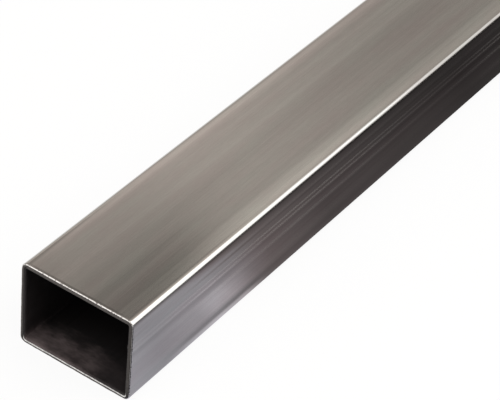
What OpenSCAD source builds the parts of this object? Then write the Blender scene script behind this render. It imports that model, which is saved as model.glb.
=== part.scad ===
// Rectangular steel tube: a length of hollow section rolled from strip and welded along one seam,
// sawn square at both ends. It lies along Y on its wide face, with the origin under its middle.

/* [Section] */
// Outside width, across the two side faces
tube_w = 40; // [25:1:120]
// Outside height, from the bottom face to the top face
tube_h = 30; // [20:1:100]
// Wall thickness
wall = 1.5; // [1.2:0.1:4]
// Inside radius of the four rolled corners
bend_r = 0.7; // [0.4:0.1:4]

/* [Length] */
// Cut length of the stock
tube_l = 1000; // [100:10:6000]

/* [Weld seam] */
// Depth of the seam in the right wall, below the top face
seam_drop = 9.6; // [8:0.2:12]
// Width of the bead that the weld leaves inside
bead_w = 2.2; // [1:0.1:4]
// Height of the bead above the inner face of the wall
bead_h = 0.15; // [0.1:0.05:0.8]

/* [Sawn ends] */
// Bevel that deburring leaves round the outside of a sawn end
outer_bevel = 0.35; // [0.1:0.05:0.5]
// Bevel that deburring leaves round the inside of a sawn end
inner_bevel = 0.15; // [0.05:0.05:0.4]

/* [Hidden] */
$fn = 96;
steel_grey = [0.52, 0.50, 0.48];
corner_r = bend_r + wall;
bore_w = tube_w - 2 * wall;
bore_h = tube_h - 2 * wall;
// Radius of the bead's round crest, from its width and height
bead_r = (bead_w * bead_w / 4 + bead_h * bead_h) / (2 * bead_h);
// How far a bevel's cutter runs on past the faces that it cuts
overrun = outer_bevel;
// How far the inner bevel's cutters reach into the bore: along the walls, so that they take the end of
// the bead too, and in the corners, where they stay short of the corner's axis
wall_reach = bend_r + bead_h;
corner_reach = bend_r / 2;

// Rectangle about the middle of the section, with round corners
module rounded_rectangle(w, h, r) {
    square([w - 2 * r, h], center = true);
    square([w, h - 2 * r], center = true);
    for (x = [-1, 1], y = [-1, 1])
        translate([x * (w / 2 - r), y * (h / 2 - r)])
            circle(r);
}

// The rolled wall, with the weld bead standing into the bore from the right wall
module wall_section() {
    difference() {
        rounded_rectangle(tube_w, tube_h, corner_r);
        difference() {
            rounded_rectangle(bore_w, bore_h, bend_r);
            translate([bore_w / 2 - bead_h + bead_r, tube_h / 2 - seam_drop])
                circle(bead_r);
        }
    }
}

// Cutter profile for the outer bevel: x runs outwards from the face, y in from the sawn end
module outer_bevel_profile() {
    polygon([
        [-outer_bevel - overrun, -overrun],
        [overrun, -overrun],
        [overrun, outer_bevel + overrun]
    ]);
}

// Cutter profile for the inner bevel: x runs into the wall from the bore's face, y in from the sawn end
module inner_bevel_profile(reach) {
    polygon([
        [-reach, -overrun],
        [inner_bevel + overrun, -overrun],
        [-reach, inner_bevel + reach]
    ]);
}

// Sweeps a bevel's profile round a rectangle of the given size and corner radius: its first child
// along the straight sides, and its second round the corners
module round_the_end(w, h, r) {
    for (side = [0, 1])
        rotate(180 * side) {
            translate([w / 2, 0, 0])
                rotate([90, 0, 0])
                    linear_extrude(h - 2 * r, center = true)
                        children(0);
            translate([0, h / 2, 0])
                rotate([90, 0, 90])
                    linear_extrude(w - 2 * r, center = true)
                        children(0);
            for (turn = [0, 1])
                mirror([turn, 0, 0])
                    translate([w / 2 - r, h / 2 - r, 0])
                        rotate_extrude(angle = 90)
                            translate([r, 0])
                                children(1);
        }
}

// Both bevels of one sawn end, which lies in the XY plane with the tube above it
module end_bevels() {
    round_the_end(tube_w, tube_h, corner_r) {
        outer_bevel_profile();
        outer_bevel_profile();
    }
    round_the_end(bore_w, bore_h, bend_r) {
        inner_bevel_profile(wall_reach);
        inner_bevel_profile(corner_reach);
    }
}

module rectangular_tube() {
    color(steel_grey)
        translate([0, tube_l / 2, tube_h / 2])
            rotate([90, 0, 0])
                difference() {
                    linear_extrude(tube_l)
                        wall_section();
                    end_bevels();
                    translate([0, 0, tube_l])
                        mirror([0, 0, 1])
                            end_bevels();
                }
}

rectangular_tube();
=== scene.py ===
"""Looks for the rectangular steel tube: its rolled skin, its sawn ends, bare steel and a white studio."""

import math

import bpy
import numpy as np
from mathutils import Matrix, Vector


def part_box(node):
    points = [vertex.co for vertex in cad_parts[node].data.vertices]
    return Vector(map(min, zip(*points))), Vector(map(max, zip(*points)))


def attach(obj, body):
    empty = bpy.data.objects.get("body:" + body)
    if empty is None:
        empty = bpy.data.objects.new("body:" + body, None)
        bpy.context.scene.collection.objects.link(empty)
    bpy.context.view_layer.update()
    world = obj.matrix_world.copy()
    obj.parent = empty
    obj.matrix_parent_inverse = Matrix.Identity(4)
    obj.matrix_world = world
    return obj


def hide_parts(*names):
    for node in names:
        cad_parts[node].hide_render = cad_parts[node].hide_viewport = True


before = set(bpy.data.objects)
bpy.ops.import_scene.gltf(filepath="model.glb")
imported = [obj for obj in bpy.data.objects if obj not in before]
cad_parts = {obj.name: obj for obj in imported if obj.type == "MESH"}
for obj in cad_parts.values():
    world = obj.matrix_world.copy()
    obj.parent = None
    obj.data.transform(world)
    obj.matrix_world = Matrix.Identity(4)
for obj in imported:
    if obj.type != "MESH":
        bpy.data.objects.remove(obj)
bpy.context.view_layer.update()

NODE = "rectangular_tube"
MM = 0.001
SEED = 7

low, high = (Vector(corner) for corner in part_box(NODE))
WIDTH, LENGTH, HEIGHT = high - low
FRONT_Y, REAR_Y = low.y, high.y

# The section, as the solid has it
WALL = 1.5 * MM
BEND_R = 0.7 * MM
SEAM_Z = HEIGHT - 9.6 * MM
BEAD_W = 2.2 * MM
BEAD_H = 0.15 * MM

# What rolling leaves on the section: each flat waves, and starts to turn a little before its corner
SHOULDER = 3.0 * MM
SHOULDER_TILT = math.radians(1.5)
CORNER_R = 2.15 * MM
WAVE_H = 0.010 * MM
WAVE_SPACING = 4.0 * MM

# Ridges and dips that rolling and trimming the weld leave on the right face: the height of each above
# the seam, its half width and its rise, in millimetres
RELIEF = ((0.5, 0.8, -0.03), (-1.6, 1.15, -0.055), (-4.2, 2.2, 0.042), (4.5, 1.3, -0.03))

# What sawing and deburring leave on the ends: a bevel outside, a lip inside that is wide on the lower
# wall, and an uneven face between them
OUTER_BEVEL = 0.28 * MM
INNER_LIP = 0.15 * MM
LOWER_LIP = 0.68 * MM
SAW_WANDER = 0.03 * MM
# How uneven they are: the spacing of the ups and downs, and their share of the size
BEVEL_DENTS = (4.0 * MM, 0.12)
BEVEL_NICKS = (1.1 * MM, 0.12)
LIP_DENTS = (3.0 * MM, 0.12)
SAW_WAVES = (8.0 * MM, 1.0)
SAW_MARKS = (0.8 * MM, 1.0)
# Points of the bevel and the lip as shares of their size: in from the wall's face, and deep from the end
BEVEL_POINTS = ((0.0, 1.0), (0.06, 0.75), (0.75, 0.06), (1.0, 0.0))
LIP_POINTS = ((1.0, 0.0), (0.4, 0.1), (0.0, 0.2))
# Shares of the way across the sawn face at which it has a ring
SAWN_POINTS = (0.35, 0.7)

# Steps of the mesh round the section
WIDE_STEP = 0.3 * MM
NARROW_STEP = 0.2 * MM
SHOULDER_STEPS = 8
ARC_STEPS = 14
# Distances of the mesh's rings from the nearer end, and the most between two rings elsewhere
END_RINGS = [value * MM for value in (1.2, 2.5, 5, 9, 15, 24, 36, 50)]
MIDDLE_STEP = 50 * MM

# Groups of faces, in the order of the tube's materials
SKIN, EDGE, SAWN, LIP, BORE = range(5)

# Shares of the baked picture that the skin, the bore and the two ends take, from left to right
SKIN_STRIP, BORE_STRIP, FRONT_STRIP, REAR_STRIP = (0.01, 0.58), (0.60, 0.88), (0.90, 0.94), (0.95, 0.99)
# The first and last stretch of the tube, the share of the picture's height for each, and its margin
END_STRETCH = 25 * MM
END_SHARE = 0.08
MAP_MARGIN = 0.01


def corner_turn(radius, shoulder, tilt):
    """Headings and lengths of the short segments that turn one corner, from 0 to 90 degrees."""
    share = (np.arange(SHOULDER_STEPS) + 0.5) / SHOULDER_STEPS
    lead_in = tilt * share**2
    step = (math.pi / 2 - 2 * tilt) / ARC_STEPS
    arc = tilt + (np.arange(ARC_STEPS) + 0.5) * step
    headings = np.concatenate([lead_in, arc, math.pi / 2 - lead_in[::-1]])
    straight = np.full(SHOULDER_STEPS, shoulder / SHOULDER_STEPS)
    chords = np.full(ARC_STEPS, 2 * radius * math.sin(step / 2))
    return headings, np.concatenate([straight, chords, straight])


def outline(width, height, radius, shoulder, tilt, flats):
    """Points, outward normals and distances once round a rounded rectangle, from the middle of its bottom.

    flats gives the number of segments in its wide and its narrow flats.
    """
    turn, turn_lengths = corner_turn(radius, shoulder, tilt)
    reach = float(np.sum(turn_lengths * np.cos(turn)))
    headings, lengths = [], []

    def flat(heading, length, count):
        """Adds a straight stretch in some segments."""
        headings.append(np.full(count, heading))
        lengths.append(np.full(count, length / count))

    wide, narrow = width - 2 * reach, height - 2 * reach
    flat(0.0, wide / 2, flats[0] // 2)
    for quarter in range(4):
        start = quarter * math.pi / 2
        headings.append(start + turn)
        lengths.append(turn_lengths)
        if quarter == 3:
            flat(2 * math.pi, wide / 2, flats[0] // 2)
        elif quarter % 2:
            flat(start + math.pi / 2, wide, flats[0])
        else:
            flat(start + math.pi / 2, narrow, flats[1])
    headings, lengths = np.concatenate(headings), np.concatenate(lengths)
    steps = np.stack([np.cos(headings), np.sin(headings)], 1) * lengths[:, None]
    points = np.concatenate([[[0.0, 0.0]], np.cumsum(steps, 0)[:-1]])
    before = np.concatenate([[headings[-1] - 2 * math.pi], headings[:-1]])
    facing = (before + headings) / 2
    normals = np.stack([np.sin(facing), -np.cos(facing)], 1)
    return points, normals, np.concatenate([[0.0], np.cumsum(lengths)])


def ripple(distance, around, spacing, rng):
    """Smooth, seeded unevenness from -1 to 1 that closes on itself after a way round."""
    count = max(3, round(around / spacing))
    values = rng.uniform(-1.0, 1.0, count)
    place = distance / around * count
    base = np.floor(place).astype(int)
    share = place - base
    share = share * share * (3 - 2 * share)
    return values[base % count] * (1 - share) + values[(base + 1) % count] * share


def skin_relief(points, around, rng):
    """How far the skin stands off its plain outline: waves, and the ridges and dips of the right face."""
    relief = WAVE_H * ripple(around[:-1], around[-1], WAVE_SPACING, rng)
    for height, half_width, rise in RELIEF:
        off = np.clip(np.abs(points[:, 1] - SEAM_Z - height * MM) / (half_width * MM), 0.0, 1.0)
        relief += np.where(points[:, 0] > 0, rise * MM * (1 + np.cos(math.pi * off)) / 2, 0.0)
    return relief


def bead_rise(points):
    """How far the weld bead stands out of the right wall of the bore at each point."""
    radius = (BEAD_W**2 / 4 + BEAD_H**2) / (2 * BEAD_H)
    off = points[:, 1] - SEAM_Z
    crest = np.sqrt(np.maximum(radius**2 - off**2, 0.0)) - (radius - BEAD_H)
    return np.where(points[:, 0] > 0, np.maximum(crest, 0.0) * (np.abs(off) < BEAD_W / 2), 0.0)


def ring(points, y):
    """A section's points at one place or places along the tube."""
    return np.column_stack([points[:, 0], np.broadcast_to(y, len(points)), points[:, 1]])


def end_rings(outer, inner, outer_normals, inner_normals, around, rng):
    """Rings of a sawn end from the skin to the bore: points, depths into the tube and the faces' group."""
    def uneven(spacing, share):
        """A factor round the section that goes up and down from 1 by a share."""
        return 1 + share * ripple(around[:-1], around[-1], spacing, rng)

    bevel = OUTER_BEVEL * uneven(*BEVEL_DENTS) * uneven(*BEVEL_NICKS)
    lowness = np.clip(-inner_normals[:, 1], 0.0, 1.0)
    lip = (INNER_LIP + (LOWER_LIP - INNER_LIP) * lowness) * uneven(*LIP_DENTS)
    sawn = SAW_WANDER * uneven(*SAW_WAVES)
    bevels = [(outer - outer_normals * (bevel * inset)[:, None], sawn + bevel * depth, EDGE)
              for inset, depth in BEVEL_POINTS]
    lips = [(inner + inner_normals * (lip * inset)[:, None], sawn + lip * depth, group)
            for (inset, depth), group in zip(LIP_POINTS, (LIP, BORE, BORE))]
    start, end = bevels.pop()[0], lips[0][0]
    face = [(start, sawn, SAWN)]
    for share in SAWN_POINTS:
        marks = SAW_WANDER * uneven(*SAW_MARKS)
        face.append((start + (end - start) * share, sawn + marks / 2, SAWN))
    return bevels + face + lips


def unroll(mesh, rings, around, groups, across):
    """A map that lays out the skin, the bore and the two ends as strips side by side."""
    turn = around / around[-1]
    count, order = len(turn) - 1, len(rings)
    heights = np.interp([np.mean(points[:, 1]) for points in rings],
                        [FRONT_Y, FRONT_Y + END_STRETCH, REAR_Y - END_STRETCH, REAR_Y],
                        [MAP_MARGIN, MAP_MARGIN + END_SHARE, 1 - MAP_MARGIN - END_SHARE, 1 - MAP_MARGIN])
    corners = np.zeros((order, count, 4, 2))
    for here in range(order):
        there = (here + 1) % order
        group = groups[here * count]
        # The corners of a face in order: the ring that each is on, and its share of the way round
        loop = ((here, turn[:-1]), (here, turn[1:]), (there, turn[1:]), (there, turn[:-1]))
        for corner, (at, way) in enumerate(loop):
            if group in (SKIN, BORE):
                left, right = SKIN_STRIP if group == SKIN else BORE_STRIP
                corners[here, :, corner, 0] = left + (right - left) * way
                corners[here, :, corner, 1] = heights[at]
            else:
                left, right = FRONT_STRIP if heights[here] < 0.5 else REAR_STRIP
                corners[here, :, corner, 0] = left + (right - left) * across[at]
                corners[here, :, corner, 1] = MAP_MARGIN + (1 - 2 * MAP_MARGIN) * way
    mesh.uv_layers.new(name="OFBake").data.foreach_set("uv", corners.ravel())


def build_tube():
    """The tube as one closed mesh, with a map that unrolls it for baking."""
    flats = (2 * round((WIDTH - 2 * SHOULDER) / WIDE_STEP / 2),
             2 * round((HEIGHT - 2 * SHOULDER) / NARROW_STEP / 2))
    outer, outer_normals, around = outline(WIDTH, HEIGHT, CORNER_R, SHOULDER, SHOULDER_TILT, flats)
    inner, inner_normals, _ = outline(
        WIDTH - 2 * WALL, HEIGHT - 2 * WALL, BEND_R, SHOULDER + CORNER_R - WALL - BEND_R, 0.0, flats)
    inner = inner + (0.0, WALL)
    inner = inner - inner_normals * bead_rise(inner)[:, None]
    rng = np.random.default_rng(SEED)
    outer = outer + outer_normals * skin_relief(outer, around, rng)[:, None]

    front = end_rings(outer, inner, outer_normals, inner_normals, around, rng)
    rear = end_rings(outer, inner, outer_normals, inner_normals, around, rng)
    middle = np.arange(FRONT_Y + END_RINGS[-1] + MIDDLE_STEP, REAR_Y - END_RINGS[-1], MIDDLE_STEP)
    stations = np.concatenate([FRONT_Y + np.array(END_RINGS), middle, REAR_Y - np.array(END_RINGS[::-1])])

    # Rings once round the wall, from the front mouth out over the skin, and back through the bore
    rings = [ring(points, FRONT_Y + depth) for points, depth, _ in front[::-1]]
    rings += [ring(outer, y) for y in stations]
    rings += [ring(points, REAR_Y - depth) for points, depth, _ in rear]
    rings += [ring(inner, y) for y in stations[::-1]]
    ends = [group for _, _, group in rear[:-1]]
    along = len(stations) + 1
    groups = ends[::-1] + [SKIN] * along + ends + [BORE] * along

    count, order = len(outer), len(rings)
    first = np.arange(count)
    after = (first + 1) % count
    faces = [np.stack([here * count + first, here * count + after, (here + 1) % order * count + after,
                       (here + 1) % order * count + first], 1) for here in range(order)]
    groups = np.repeat(groups, count)
    mesh = bpy.data.meshes.new("steel_tube")
    mesh.from_pydata(np.concatenate(rings).tolist(), [], np.concatenate(faces).tolist())
    mesh.polygons.foreach_set("material_index", groups)
    mesh.polygons.foreach_set("use_smooth", np.isin(groups, (SKIN, BORE)))
    flat_rings = np.array(rings)[:, :, [0, 2]]
    across = np.linalg.norm(flat_rings - outer, axis=2) / np.linalg.norm(inner - outer, axis=1)
    mesh.attributes.new("across", "FLOAT", "POINT").data.foreach_set("value", across.ravel())
    order_across = np.concatenate([np.linspace(1, 0, len(front)), np.zeros(len(stations)),
                                   np.linspace(0, 1, len(rear)), np.ones(len(stations))])
    unroll(mesh, rings, around, groups, order_across)
    mesh.update()
    tube = bpy.data.objects.new("steel_tube", mesh)
    bpy.context.scene.collection.objects.link(tube)
    return tube


def set_inputs(tree, node, inputs):
    """Sets a node's inputs by name or number: a socket is linked, and a value is set."""
    for name, value in inputs.items():
        if isinstance(value, bpy.types.NodeSocket):
            tree.links.new(value, node.inputs[name])
        else:
            node.inputs[name].default_value = value


def add_node(tree, kind, inputs=None, **settings):
    """Adds a node with its settings and inputs."""
    node = tree.nodes.new(kind)
    for name, value in settings.items():
        setattr(node, name, value)
    set_inputs(tree, node, inputs or {})
    return node


def new_material(name):
    """A material with its tree, its shader and the object's own coordinates."""
    material = bpy.data.materials.new(name)
    material.use_nodes = True
    tree = material.node_tree
    shader = tree.nodes["Principled BSDF"]
    place = add_node(tree, "ShaderNodeTexCoord").outputs["Object"]
    return material, tree, shader, place


# How much weaker each finer layer of a noise is, and the range that most of its values lie in
NOISE_FADE = 0.6
NOISE_LOW, NOISE_HIGH = 0.3, 0.7


def noise(tree, place, size, detail=2.0, offset=0.0):
    """Noise with its typical size along each axis in metres."""
    scaled = add_node(tree, "ShaderNodeMapping", {
        "Vector": place,
        "Location": (offset, offset, offset),
        "Scale": tuple(1 / length for length in size),
    })
    return add_node(tree, "ShaderNodeTexNoise", {
        "Vector": scaled.outputs[0], "Scale": 1.0, "Detail": detail, "Roughness": NOISE_FADE,
    }).outputs["Fac"]


def streaks(tree, place, across, along, detail=2.0, offset=0.0):
    """Noise drawn out along the tube."""
    return noise(tree, place, (across, along, across), detail, offset)


def mapped(tree, value, start, end, low=NOISE_LOW, high=NOISE_HIGH, smooth=False):
    """A value between low and high turned into a range of its own."""
    return add_node(tree, "ShaderNodeMapRange", {
        "Value": value, "From Min": low, "From Max": high, "To Min": start, "To Max": end,
    }, interpolation_type="SMOOTHSTEP" if smooth else "LINEAR").outputs[0]


def varied(tree, value, spread):
    """A noise turned into a factor that lies about 1."""
    return mapped(tree, value, 1 - spread, 1 + spread)


def mixed(tree, share, first, second, blend="MIX"):
    """Two colours mixed by a share."""
    return add_node(tree, "ShaderNodeMix", {0: share, 6: first, 7: second},
                    data_type="RGBA", blend_type=blend).outputs[2]


def maths(tree, operation, *values):
    """One sum, product or other step on some values."""
    return add_node(tree, "ShaderNodeMath", dict(enumerate(values)), operation=operation).outputs[0]


def product(tree, *values):
    """The product of some values."""
    result = values[0]
    for value in values[1:]:
        result = maths(tree, "MULTIPLY", result, value)
    return result


def dot(tree, first, second):
    """How far one place or direction lies along another."""
    along = add_node(tree, "ShaderNodeVectorMath", {0: first, 1: second}, operation="DOT_PRODUCT")
    return along.outputs["Value"]


def axes_of(tree, place):
    """The X, Y and Z of a place or direction."""
    return add_node(tree, "ShaderNodeSeparateXYZ", {0: place}).outputs


def placed_ramp(tree, value, stops, interpolation="LINEAR"):
    """A value read off a ramp of colours, whose stops are places on the value's own scale."""
    first, last = stops[0][0], stops[-1][0]
    ramp = add_node(tree, "ShaderNodeValToRGB", {0: mapped(tree, value, 0.0, 1.0, first, last)})
    ramp.color_ramp.interpolation = interpolation
    elements = ramp.color_ramp.elements
    while len(elements) < len(stops):
        elements.new(0.5)
    for element, (place, colour) in zip(elements, stops):
        element.position = (place - first) / (last - first)
        element.color = (*colour, 1)
    return ramp.outputs[0]


def grey_ramp(tree, value, stops, unit=1.0, start=0.0, interpolation="LINEAR"):
    """A value read off a ramp of greys, whose stops are counted in a unit from a start."""
    greys = [(start + place * unit, (grey,) * 3) for place, grey in stops]
    return placed_ramp(tree, value, greys, interpolation)


# Rubs from the tool that trimmed the weld: the height of each above the seam, its half width and its
# strength, in millimetres
RUBS = ((-0.95, 0.8, 1.0), (1.05, 0.75, 1.0), (-5.4, 1.1, 0.55), (4.9, 1.2, 0.2), (-12.4, 3.0, 0.2))
# How worn the rubs are in streaks: the share of their strength where they are worn most and least
RUB_WEAR = (0.75, 1.0)
RUB_STREAKS = {"across": 3 * MM, "along": 120 * MM, "offset": 4.2}
# How the tool's pressure beats along the tube: the length of a beat, the place of a strong one behind the
# front end, and the share of a rub that is scuffed dull where the tool pressed least and most
TRIM_BEAT = 180 * MM
TRIM_PEAK = 72 * MM
TRIM_SCUFF = (0.06, 0.42)
# How much brighter a rub is than the rest of the skin, and what it adds to the roughness
RUB_GAIN = 1.12
RUB_ROUGHNESS = 0.06
# A strip of the right face painted darker: its height above the seam, its half width and the share left
DARK_STRIP_HEIGHT = -2.4 * MM
DARK_STRIP_HALF_WIDTH = 1.3 * MM
DARK_STRIP_SHARE = 0.89
# Places across the tube between which the marks of the right face set in
RIGHT_FACE = (WIDTH / 2 - 0.6 * MM, WIDTH / 2 - 0.3 * MM)
# Tones across, partly roll polish and partly painted reflection, with a painted highlight along the right
# corners and painted shade either side of it: places across in millimetres, and the share of the full tone
POLISH_AND_HIGHLIGHT_TONES = ((-20.0, 0.70), (-19.8, 0.90), (-17.2, 1.04), (-15.2, 0.84), (-9.0, 0.79), (-7.0, 0.83),
              (-4.0, 0.75), (0.0, 0.70), (4.0, 0.74), (12.8, 0.72), (14.6, 0.88), (17.5, 1.02),
              (18.3, 0.94), (18.75, 0.87), (19.1, 1.06), (19.45, 1.06), (19.7, 0.72), (20.0, 0.70))
# Patterns in the skin: their sizes across and along the tube, with their layers and place in the noise
BROAD_BANDS = {"across": 7 * MM, "along": 420 * MM, "detail": 1.0}
NARROW_BANDS = {"across": 2.0 * MM, "along": 300 * MM, "offset": 3.7}
FINE_LINES = {"across": 0.35 * MM, "along": 120 * MM, "offset": 9.1}
HAZY_LINES = {"across": 0.9 * MM, "along": 160 * MM, "offset": 5.6}
GRAIN = {"across": 0.3 * MM, "along": 5 * MM, "offset": 2.3}
CLOUDS = {"across": 5 * MM, "along": 22 * MM, "detail": 3.0, "offset": 6.3}
# Bare steel at its warmest and its coolest, and how far bands and clouds go from one to the other
WARM_STEEL = (0.585, 0.54, 0.522, 1)
COOL_STEEL = (0.53, 0.53, 0.50, 1)
BAND_TINT = (0.0, 0.7)
CLOUD_TINT = (-0.15, 0.45)
# How much the tone varies either way in bands, and in finer marks
BAND_SPREAD = 0.05
FINE_SPREAD = 0.035
# Roughness of the skin, the haze of its lines, and the relief of the finest ones
SKIN_ROUGHNESS = (0.09, 0.13)
LINE_HAZE = (0.0, 0.024)
FINE_RELIEF = {"Strength": 0.06, "Distance": 0.02 * MM}


def line_along(tree, height, centre, half_width):
    """1 along a line at one height, and 0 past its half width."""
    off = maths(tree, "ABSOLUTE", maths(tree, "SUBTRACT", height, centre))
    return mapped(tree, off, 1.0, 0.0, 0.0, half_width, smooth=True)


def on_right_face(tree, x):
    """1 on the right face, and 0 elsewhere."""
    return mapped(tree, x, 0.0, 1.0, *RIGHT_FACE)


def dark_strip_tone(tree, place):
    """The share of the full tone left in a strip of the right face that is painted darker."""
    axes = axes_of(tree, place)
    strip = product(tree, line_along(tree, axes["Z"], SEAM_Z + DARK_STRIP_HEIGHT, DARK_STRIP_HALF_WIDTH),
                    on_right_face(tree, axes["X"]))
    return mapped(tree, strip, 1.0, DARK_STRIP_SHARE, 0.0, 1.0)


def weld_marks(tree, place):
    """Where the tool that trimmed the weld has rubbed the right face."""
    axes = axes_of(tree, place)
    marks = 0.0
    for height, half_width, strength in RUBS:
        line = line_along(tree, axes["Z"], SEAM_Z + height * MM, half_width * MM)
        marks = maths(tree, "MULTIPLY_ADD", line, strength, marks)
    right = on_right_face(tree, axes["X"])
    worn = mapped(tree, streaks(tree, place, **RUB_STREAKS), *RUB_WEAR)
    return product(tree, marks, right, worn)


def trim_scuff(tree, place):
    """How dull the rubs are, which comes and goes along the tube."""
    behind = maths(tree, "SUBTRACT", axes_of(tree, place)["Y"], FRONT_Y + TRIM_PEAK)
    beat = maths(tree, "COSINE", product(tree, behind, 2 * math.pi / TRIM_BEAT))
    return mapped(tree, beat, *TRIM_SCUFF, -1.0, 1.0)


def polish_and_highlight_tone(tree, place):
    """Tones across the wide faces: roll polish and painted reflection on the shoulders, a painted highlight
    along the right corners and painted shade either side of it.
    """
    return grey_ramp(tree, axes_of(tree, place)["X"], POLISH_AND_HIGHLIGHT_TONES, MM, interpolation="EASE")


def rolled_skin():
    """Bare rolled steel: soft bands and fine lines along the tube, with the lines of the trimmed weld."""
    material, tree, shader, place = new_material("rolled_skin")
    broad, narrow, fine, hazy, grain, cloud = (
        streaks(tree, place, **pattern)
        for pattern in (BROAD_BANDS, NARROW_BANDS, FINE_LINES, HAZY_LINES, GRAIN, CLOUDS))
    marks = weld_marks(tree, place)
    tint = maths(tree, "ADD", mapped(tree, broad, *BAND_TINT), mapped(tree, cloud, *CLOUD_TINT))
    hue = mixed(tree, tint, WARM_STEEL, COOL_STEEL)
    finer = [varied(tree, pattern, FINE_SPREAD) for pattern in (fine, cloud, grain)]
    light = product(tree, varied(tree, narrow, BAND_SPREAD), *finer, dark_strip_tone(tree, place),
                    mapped(tree, marks, 1.0, RUB_GAIN, 0.0, 1.0))
    # The tones across bring in painted reflection, and a painted corner highlight with painted shade either
    # side
    colour = mixed(tree, 1.0, hue, polish_and_highlight_tone(tree, place), "MULTIPLY")
    scuffed = product(tree, marks, trim_scuff(tree, place))
    haze = maths(tree, "ADD", scuffed, mapped(tree, hazy, *LINE_HAZE))
    rough = maths(tree, "MULTIPLY_ADD", marks, RUB_ROUGHNESS, mapped(tree, narrow, *SKIN_ROUGHNESS))
    set_inputs(tree, shader, {
        "Base Color": mixed(tree, 1.0, colour, light, "MULTIPLY"),
        "Roughness": rough,
        "Metallic": maths(tree, "SUBTRACT", 1.0, haze),
        "Normal": add_node(tree, "ShaderNodeBump", {"Height": fine, **FINE_RELIEF}).outputs[0],
    })
    return material


# The deburred edge: the size of its nicks, the part of the noise in which they fade, and its looks
NICKS = {"size": (0.55 * MM,) * 3}
NICK_FADE = (0.36, 0.50)
NICK_COLOUR = (0.20, 0.18, 0.175, 1)
EDGE_COLOUR = (0.70, 0.68, 0.66, 1)
EDGE_ROUGHNESS = (0.24, 0.34)


def cut_edge():
    """Bright steel where the burr was taken off, with dark nicks."""
    material, tree, shader, place = new_material("cut_edge")
    grain = noise(tree, place, **NICKS)
    bright = mapped(tree, grain, 0.0, 1.0, *NICK_FADE)
    set_inputs(tree, shader, {
        "Base Color": mixed(tree, bright, NICK_COLOUR, EDGE_COLOUR),
        "Roughness": mapped(tree, grain, *EDGE_ROUGHNESS),
        "Metallic": 1.0,
    })
    return material


# The sawn face: the tilt, size and relief of its saw lines, and its looks
SAW_TILT = math.radians(25)
SAW_LINES = {"size": (6 * MM, 6 * MM, 0.25 * MM)}
SAW_RELIEF = {"Strength": 0.4, "Distance": 0.04 * MM}
SAWN_DARK = (0.078, 0.070, 0.065, 1)
SAWN_PALE = (0.115, 0.104, 0.097, 1)
SAWN_ROUGHNESS = 0.45
# Its dark margin, a painted shadow of the burr: the shares of the way across between which it ends, how far
# and how finely its edge is torn, and how much of it the left wall has
MARGIN_SHADOW_COLOUR = (0.045, 0.036, 0.036, 1)
MARGIN_END = (0.32, 0.42)
MARGIN_TORN = 0.08
TEARS = {"size": (0.8 * MM,) * 3, "detail": 3.0, "offset": 2.0}
MARGIN_ON_LEFT = 0.25
# Its painted shade: the shares of the way across the left wall between which it sets in, its strength on
# the left and on the right wall, and the depths from a side face between which it ends
PAINTED_SHADE_COLOUR = (0.006, 0.005, 0.005, 1)
SHADE_START = (0.38, 0.78)
SHADE_ON_LEFT = 0.97
SHADE_ON_RIGHT = 0.3
SHADE_NEAR, SHADE_FAR = 1.6 * MM, 2.6 * MM


def sawn_face():
    """Grey sawn steel with fine saw lines, a painted shadow along the outside, and painted shade on the
    right and in the left wall.
    """
    material, tree, shader, place = new_material("sawn_face")
    turned = add_node(tree, "ShaderNodeMapping", {"Vector": place, "Rotation": (0, SAW_TILT, 0)}).outputs[0]
    lines = noise(tree, turned, **SAW_LINES)
    colour = mixed(tree, mapped(tree, lines, 0.0, 1.0), SAWN_DARK, SAWN_PALE)
    across = add_node(tree, "ShaderNodeAttribute", attribute_name="across").outputs["Fac"]
    torn = mapped(tree, noise(tree, place, **TEARS), -MARGIN_TORN, MARGIN_TORN)
    inwards = maths(tree, "ADD", across, torn)
    # The outer margin is painted dark, as a painted shadow of the burr
    margin = mapped(tree, inwards, 1.0, 0.0, *MARGIN_END, smooth=True)
    x = axes_of(tree, place)["X"]
    left = mapped(tree, x, 1.0, 0.0, -WIDTH / 2 + SHADE_NEAR, -WIDTH / 2 + SHADE_FAR)
    margin = product(tree, margin, mapped(tree, left, 1.0, MARGIN_ON_LEFT, 0.0, 1.0))
    colour = mixed(tree, margin, colour, MARGIN_SHADOW_COLOUR)
    # Painted shade on the inner part of the left wall and on the right wall
    shaded = product(tree, left, mapped(tree, across, 0.0, SHADE_ON_LEFT, *SHADE_START))
    right = mapped(tree, x, 0.0, SHADE_ON_RIGHT, WIDTH / 2 - SHADE_FAR, WIDTH / 2 - SHADE_NEAR)
    set_inputs(tree, shader, {
        "Base Color": mixed(tree, maths(tree, "MAXIMUM", shaded, right), colour, PAINTED_SHADE_COLOUR),
        "Roughness": SAWN_ROUGHNESS,
        "Metallic": 1.0,
        "Normal": add_node(tree, "ShaderNodeBump", {"Height": lines, **SAW_RELIEF}).outputs[0],
    })
    return material


# The inside edge of a cut: the size of the file's marks, and its looks where it is filed and where it is
# painted dark as shade
FILE_MARKS = {"size": (0.8 * MM,) * 3, "offset": 1.0}
FILED_DARK = (0.34, 0.33, 0.32, 1)
FILED_BRIGHT = (0.92, 0.895, 0.865, 1)
LIP_SHADE_COLOUR = (0.035, 0.03, 0.03, 1)
LIP_ROUGHNESS = (0.28, 0.38)


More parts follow.
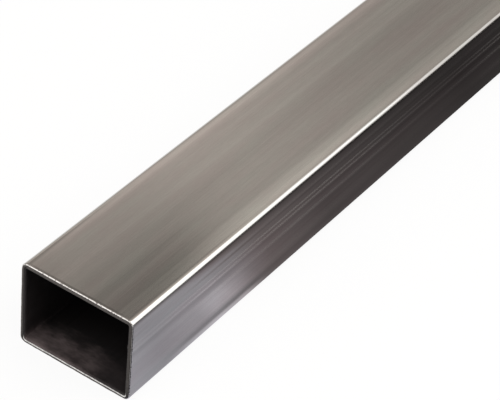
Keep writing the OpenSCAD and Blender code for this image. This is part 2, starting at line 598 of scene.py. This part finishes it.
def cut_lip():
    """The inside edge of a cut: filed bright on the lower wall, painted dark as shade elsewhere."""
    material, tree, shader, place = new_material("cut_lip")
    grain = noise(tree, place, **FILE_MARKS)
    filed = mixed(tree, mapped(tree, grain, 0.0, 1.0), FILED_DARK, FILED_BRIGHT)
    # Above the lower wall the lip is painted dark, as shade
    upper = mapped(tree, axes_of(tree, place)["Z"], 0.0, 1.0, WALL, 2 * WALL)
    set_inputs(tree, shader, {
        "Base Color": mixed(tree, upper, filed, LIP_SHADE_COLOUR),
        "Roughness": mapped(tree, grain, *LIP_ROUGHNESS),
        "Metallic": 1.0,
    })
    return material


# The bore: its scale, and a painted pool of light on the floor of each mouth
SCALE_DARK = (0.016, 0.014, 0.0145, 1)
SCALE_PALE = (0.024, 0.021, 0.022, 1)
MOUTH_LIGHT_DIM = (0.05, 0.04, 0.041, 1)
MOUTH_LIGHT_BRIGHT = (0.155, 0.125, 0.127, 1)
BORE_ROUGHNESS = (0.5, 0.62)
BORE_METAL = 0.3
BORE_SHINE = 0.25
# Lines in the scale, scuff marks on the floor that also blotch the painted light, and the part of the noise
# in which the blotches grow
BORE_LINES = {"across": 1.5 * MM, "along": 60 * MM, "detail": 3.0, "offset": 5.0}
SCUFF_AND_LIGHT_BLOTCHES = {"size": (7 * MM, 3.5 * MM, 7 * MM), "detail": 3.0, "offset": 8.0}
LIGHT_BLOTCH_RISE = (0.35, 0.7)
# How far in the painted pool of light goes and is strong, how much that wanders, the heights between which
# it fades up the walls, and the shares of it that are left there and on the right
MOUTH_LIGHT_REACH = 13 * MM
MOUTH_LIGHT_STRONG = MOUTH_LIGHT_REACH / 3
MOUTH_LIGHT_WANDER = 2 * MM
MOUTH_LIGHT_HEIGHTS = (WALL + 0.3 * MM, WALL + 2.5 * MM)
MOUTH_LIGHT_ON_WALLS = 0.06
MOUTH_LIGHT_ON_RIGHT = 0.15


def bore_steel():
    """Dark scale inside the tube, with a painted pool of light, blotched by scuff marks, on the floor of
    each mouth.
    """
    material, tree, shader, place = new_material("bore_steel")
    lines = streaks(tree, place, **BORE_LINES)
    blotches = noise(tree, place, **SCUFF_AND_LIGHT_BLOTCHES)
    scale = mixed(tree, mapped(tree, lines, 0.0, 1.0), SCALE_DARK, SCALE_PALE)
    # The floor of each mouth is painted paler, a painted pool of light that fades inwards and up the walls
    mouth_light = mixed(tree, mapped(tree, blotches, 0.0, 1.0, *LIGHT_BLOTCH_RISE), MOUTH_LIGHT_DIM, MOUTH_LIGHT_BRIGHT)
    axes = axes_of(tree, place)
    from_middle = maths(tree, "ABSOLUTE", axes["Y"])
    outwards = maths(tree, "ADD", from_middle, mapped(tree, blotches, -MOUTH_LIGHT_WANDER, MOUTH_LIGHT_WANDER))
    mouth = mapped(tree, outwards, 0.0, 1.0, LENGTH / 2 - MOUTH_LIGHT_REACH, LENGTH / 2 - MOUTH_LIGHT_STRONG, smooth=True)
    floor = mapped(tree, axes["Z"], 1.0, MOUTH_LIGHT_ON_WALLS, *MOUTH_LIGHT_HEIGHTS)
    left = mapped(tree, axes["X"], 1.0, MOUTH_LIGHT_ON_RIGHT, 0.0, WIDTH / 4)
    set_inputs(tree, shader, {
        "Base Color": mixed(tree, product(tree, mouth, floor, left), scale, mouth_light),
        "Roughness": mapped(tree, blotches, *BORE_ROUGHNESS),
        "Metallic": BORE_METAL,
        "Specular IOR Level": BORE_SHINE,
    })
    return material


tube = build_tube()
for finish in (rolled_skin, cut_edge, sawn_face, cut_lip, bore_steel):
    tube.data.materials.append(finish())
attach(tube, "root")
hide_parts(NODE)


def plane(name, low_corner, high_corner, height):
    """A level rectangle of the studio, which isn't part of the object."""
    (x0, y0), (x1, y1) = low_corner, high_corner
    corners = [(x0, y0, height), (x1, y0, height), (x1, y1, height), (x0, y1, height)]
    mesh = bpy.data.meshes.new(name)
    mesh.from_pydata(corners, [], [(0, 1, 2, 3)])
    sheet = bpy.data.objects.new(name, mesh)
    bpy.context.scene.collection.objects.link(sheet)
    return sheet


FLOOR_HALF = 12.0
FLOOR_DROP = 0.02 * MM
FLOOR_COLOUR = (0.9, 0.9, 0.9, 1)
FLOOR_ROUGHNESS = 0.9
# Share of the floor that shows as plain white, so that the shadow on it stays faint
FLOOR_WHITE = 0.9


def build_floor():
    """A plain white floor with a faint shadow."""
    floor = plane("floor", (-FLOOR_HALF, -FLOOR_HALF), (FLOOR_HALF, FLOOR_HALF), -FLOOR_DROP)
    material, tree, shader, _ = new_material("floor_white")
    set_inputs(tree, shader, {
        "Base Color": FLOOR_COLOUR, "Roughness": FLOOR_ROUGHNESS, "Specular IOR Level": 0.0,
    })
    rays = add_node(tree, "ShaderNodeLightPath").outputs
    seen = maths(tree, "MAXIMUM", rays["Is Camera Ray"], rays["Is Glossy Ray"])
    seen = maths(tree, "MAXIMUM", seen, rays["Is Transmission Ray"])
    share = product(tree, seen, FLOOR_WHITE)
    white = add_node(tree, "ShaderNodeEmission", {"Strength": 1.0})
    both = add_node(tree, "ShaderNodeMixShader", {0: share, 1: shader.outputs[0], 2: white.outputs[0]})
    set_inputs(tree, tree.nodes["Material Output"], {"Surface": both.outputs[0]})
    floor.data.materials.append(material)
    # Light that the floor would scatter back comes from the lower half of the room, as pale and cleaner
    floor.visible_diffuse = False


# The card that the right face mirrors: pale beside the front end, and dark past a slanting line
CARD_LIFT = 0.1 * MM
CARD_SIDE = WIDTH / 2 - 2.0 * MM
CARD_REACH = 1.2
CARD_FRONT = 0.1
CARD_EDGE = Vector((WIDTH / 2, FRONT_Y + 58 * MM, 0))
CARD_SLANT = math.radians(40.4)
# How bright the card is, and its tint, by the distance past the line in millimetres
CARD_LEVELS = ((-42, 0.66), (-31, 0.55), (-21, 0.59), (-10, 0.60), (-6, 0.52), (0, 0.45), (4, 0.37),
               (12, 0.26), (36, 0.15), (67, 0.09), (100, 0.05), (260, 0.05), (420, 0.30), (600, 0.42))
CARD_TINTS = ((-42, (1.0, 1.0, 1.13)), (-10, (1.0, 0.97, 1.07)), (0, (1.0, 0.93, 1.01)),
              (12, (1.0, 0.86, 0.89)), (100, (1.0, 0.89, 0.91)), (600, (1.0, 0.97, 0.95)))
# How far the line bends to the front away from the tube: the most, and the share by millimetres across
CARD_BEND = 32 * MM
CARD_BENDS = ((35, 0.0), (40, 0.5), (63, 0.6), (110, 1.0))
# A pale strip close to the tube, a dark one and a light one: how much brighter or darker each is by the
# distance behind the front end in millimetres, and where across the card each ends
PALE_GAINS = ((20, 1.05), (45, 1.7), (60, 1.8), (70, 0.9), (110, 1.0), (170, 1.35))
DARK_GAINS = ((18, 1.05), (26, 0.92), (34, 0.74), (58, 0.74), (64, 0.69), (80, 0.82), (110, 0.86),
              (170, 1.3))
LIGHT_GAINS = ((30, 1.0), (42, 1.08), (48, 1.33), (56, 1.5), (61, 1.3), (70, 1.0), (110, 0.86),
               (170, 1.1))
PALE_END = (WIDTH / 2 + 1.7 * MM, WIDTH / 2 + 2.3 * MM)
DARK_END = (WIDTH / 2 + 2.8 * MM, WIDTH / 2 + 4.2 * MM)
LIGHT_END = (WIDTH / 2 + 8.0 * MM, WIDTH / 2 + 10.0 * MM)
# How the card darkens away from the tube: the share left by millimetres across
FAR_SHARES = ((45, 1.0), (62, 0.85), (92, 0.7), (187, 0.5))
# The darker part ahead of the front end: the share left, and the distance over which it sets in
AHEAD_SHARE = 0.12
AHEAD_FADE = 3 * MM


def build_card():
    """A card beside the tube that only its reflections show."""
    card = plane("card", (CARD_SIDE, FRONT_Y - CARD_FRONT),
                 (WIDTH / 2 + CARD_REACH, REAR_Y + CARD_REACH), CARD_LIFT)
    for name in ("visible_camera", "visible_diffuse", "visible_shadow", "visible_transmission"):
        setattr(card, name, False)
    material, tree, shader, place = new_material("card_fade")
    tree.nodes.remove(shader)
    axes = axes_of(tree, place)
    away = (-math.sin(CARD_SLANT), math.cos(CARD_SLANT), 0)
    off = add_node(tree, "ShaderNodeVectorMath", {0: place, 1: CARD_EDGE}, operation="SUBTRACT").outputs[0]
    bend = product(tree, grey_ramp(tree, axes["X"], CARD_BENDS, MM), CARD_BEND)
    past = maths(tree, "ADD", dot(tree, off, away), bend)
    tint = placed_ramp(tree, past, [(distance * MM, colour) for distance, colour in CARD_TINTS])
    tone = mixed(tree, 1.0, grey_ramp(tree, past, CARD_LEVELS, MM), tint, "MULTIPLY")
    pale, dark, light = (grey_ramp(tree, axes["Y"], gains, MM, FRONT_Y)
                         for gains in (PALE_GAINS, DARK_GAINS, LIGHT_GAINS))
    strip = mapped(tree, axes["X"], pale, dark, *PALE_END)
    strip = mapped(tree, axes["X"], strip, light, *DARK_END)
    strip = mapped(tree, axes["X"], strip, 1.0, *LIGHT_END)
    ahead = mapped(tree, axes["Y"], AHEAD_SHARE, 1.0, FRONT_Y - AHEAD_FADE, FRONT_Y)
    level = product(tree, strip, ahead, grey_ramp(tree, axes["X"], FAR_SHARES, MM))
    glow = add_node(tree, "ShaderNodeEmission", {"Color": tone, "Strength": level})
    set_inputs(tree, tree.nodes["Material Output"], {"Surface": glow.outputs[0]})
    card.data.materials.append(material)


# The lit wall behind the tube: the plane through its top edge, and those through the edges of a taller
# part on the left, with the sine over which an edge is soft
WALL_TOP = (0.222, 0.762, -0.608)
WALL_TALL_LEFT = (0.775, 0.632, 0.0)
WALL_TALL_RIGHT = (-0.845, -0.025, -0.535)
WALL_SOFT = 0.008
# How lit the taller part is, and the share of that past its left edge
WALL_TALL_LIT = 0.70
WALL_TALL_REST = 0.3
# How bright the wall and the rest of the room are, by the sine of the angle below the wall's top edge
WALL_TONES = ((-0.05, 0.72), (0.03, 0.72), (0.064, 0.65), (0.104, 0.53), (0.14, 0.48), (0.4, 0.48))
ROOM_TONES = ((-1.0, 0.42), (-0.3, 0.40), (-0.1, 0.18))
ROOM_COLOUR = (1.06, 0.985, 0.91, 1)
# The key's spill on the ceiling: its level by the direction rightwards, and the heights in which it grows
SPILL_TONES = ((-0.43, 0.18), (-0.28, 0.29), (-0.12, 0.40), (0.05, 0.56), (0.21, 0.90), (0.36, 1.3))
SPILL_TOP = (0.58, 0.74)
# The dark foot of the room on the right: its share of the level, and the directions between which it fades
FOOT_SHARE = 0.14
FOOT_TOP = (0.10, 0.17)
FOOT_SIDE = (-0.1, 0.2)
# The pale foot of the room elsewhere: its colour and level, its share by the sine of the height, and the
# directions rightwards and backwards between which it fades
PALE_COLOUR = (1.0, 0.995, 0.985, 1)
PALE_LEVEL = 0.78
PALE_SHARES = ((-0.06, 0.0), (-0.05, 1.0), (0.1, 1.0), (0.17, 0.0))
PALE_SIDE = (0.3, 0.5)
PALE_BACK = (0.15, 0.35)


def build_world():
    """A dim room with a lit wall behind the tube, and a pale foot that the horizon ends on."""
    world = bpy.data.worlds.new("studio")
    bpy.context.scene.world = world
    world.use_nodes = True
    tree = world.node_tree
    direction = add_node(tree, "ShaderNodeTexCoord").outputs["Generated"]
    axes = axes_of(tree, direction)

    def lit_within(edge):
        """1 inside an edge of the wall, and 0 outside it."""
        return mapped(tree, dot(tree, direction, edge), 0.0, 1.0, -WALL_SOFT, WALL_SOFT)

    left = mapped(tree, lit_within(WALL_TALL_LEFT), WALL_TALL_REST, 1.0, 0.0, 1.0)
    tall = product(tree, maths(tree, "MINIMUM", left, lit_within(WALL_TALL_RIGHT)), WALL_TALL_LIT)
    lit = maths(tree, "MAXIMUM", tall, lit_within(WALL_TOP))
    room, wall = (grey_ramp(tree, dot(tree, direction, WALL_TOP), tones)
                  for tones in (ROOM_TONES, WALL_TONES))
    foot = maths(tree, "MAXIMUM", mapped(tree, axes["Z"], FOOT_SHARE, 1.0, *FOOT_TOP),
                 mapped(tree, axes["X"], 1.0, FOOT_SHARE, *FOOT_SIDE))
    spill = product(tree, grey_ramp(tree, axes["X"], SPILL_TONES),
                    mapped(tree, axes["Z"], 0.0, 1.0, *SPILL_TOP))
    level = maths(tree, "MAXIMUM", product(tree, mixed(tree, lit, room, wall), foot), spill)
    around = maths(tree, "MAXIMUM", mapped(tree, axes["X"], 1.0, 0.0, *PALE_SIDE),
                   mapped(tree, axes["Y"], 1.0, 0.0, *PALE_BACK))
    pale = product(tree, grey_ramp(tree, axes["Z"], PALE_SHARES), around)
    set_inputs(tree, tree.nodes["Background"], {
        "Color": mixed(tree, pale, ROOM_COLOUR, PALE_COLOUR),
        "Strength": mapped(tree, pale, level, PALE_LEVEL, 0.0, 1.0),
    })


LAMP_DISTANCE = 1.6
WHITE = (1, 1, 1)
COOL_WHITE = (0.90, 0.96, 1)
# Each lamp's name, the direction that it shines from, the direction of its length, its width and length,
# its brightness and its colour
LAMPS = (
    ("key", (0.684, 0.384, 0.62), (-0.467, -0.45, 0.761), (1.57, 1.80), 0.87, COOL_WHITE),
    ("key_wide", (0.616, 0.419, 0.667), (-0.22, -0.727, 0.651), (1.55, 2.37), 0.65, COOL_WHITE),
    ("front", (-0.45, -0.66, 0.60), (0, 0, 1), (1.35, 1.35), 1.15, WHITE),
    ("top", (0.05, -0.25, 0.96), (0, 1, 0), (1.4, 1.4), 1.6, WHITE),
)


def softbox(name, direction, along, size, radiance, colour):
    """An even, oval lamp aimed at the front end, with its length turned along a direction."""
    lamp = bpy.data.lights.new(name, "AREA")
    lamp.shape = "ELLIPSE"
    lamp.size, lamp.size_y = size
    area = size[0] * size[1] * math.pi / 4
    lamp.energy = radiance * area * math.pi
    lamp.color = colour
    light = bpy.data.objects.new(name, lamp)
    light.visible_camera = False
    back = Vector(direction).normalized()
    side = Vector(along).cross(back).normalized()
    axes = Matrix((side, back.cross(side), back)).transposed().to_4x4()
    light.matrix_world = Matrix.Translation(Vector((0, FRONT_Y, HEIGHT)) + back * LAMP_DISTANCE) @ axes
    bpy.context.scene.collection.objects.link(light)


# The photograph's view, from a fit of the tube's edges in it
CAMERA_AZIMUTH = math.radians(31.701)
CAMERA_ELEVATION = math.radians(39.011)
CAMERA_ROLL = math.radians(5.862)
CAMERA_PLACE = Vector((279.9, -367.0, 441.3)) * MM + Vector((0, FRONT_Y, 0))
FOCAL_PX = 2215.8
FRAME_PX = 500
SENSOR_WIDTH = 36.0
CLIP_START, CLIP_END = 0.01, 50.0


def build_camera():
    """A camera with the photograph's view."""
    level = Vector((math.cos(CAMERA_AZIMUTH), math.sin(CAMERA_AZIMUTH), 0))
    outwards = Vector((level.y, -level.x, 0))
    back = math.cos(CAMERA_ELEVATION) * outwards + math.sin(CAMERA_ELEVATION) * Vector((0, 0, 1))
    upright = back.cross(level)
    right = math.cos(CAMERA_ROLL) * level + math.sin(CAMERA_ROLL) * upright
    up = math.cos(CAMERA_ROLL) * upright - math.sin(CAMERA_ROLL) * level
    data = bpy.data.cameras.new("camera")
    data.sensor_width = SENSOR_WIDTH
    data.lens = FOCAL_PX / FRAME_PX * SENSOR_WIDTH
    data.clip_start = CLIP_START
    data.clip_end = CLIP_END
    camera = bpy.data.objects.new("camera", data)
    axes = Matrix((right, up, back)).transposed()
    camera.matrix_world = Matrix.Translation(CAMERA_PLACE) @ axes.to_4x4()
    bpy.context.scene.collection.objects.link(camera)
    bpy.context.scene.camera = camera


build_floor()
build_card()
build_world()
for lamp_values in LAMPS:
    softbox(*lamp_values)
build_camera()

bpy.context.scene.view_settings.view_transform = "Standard"
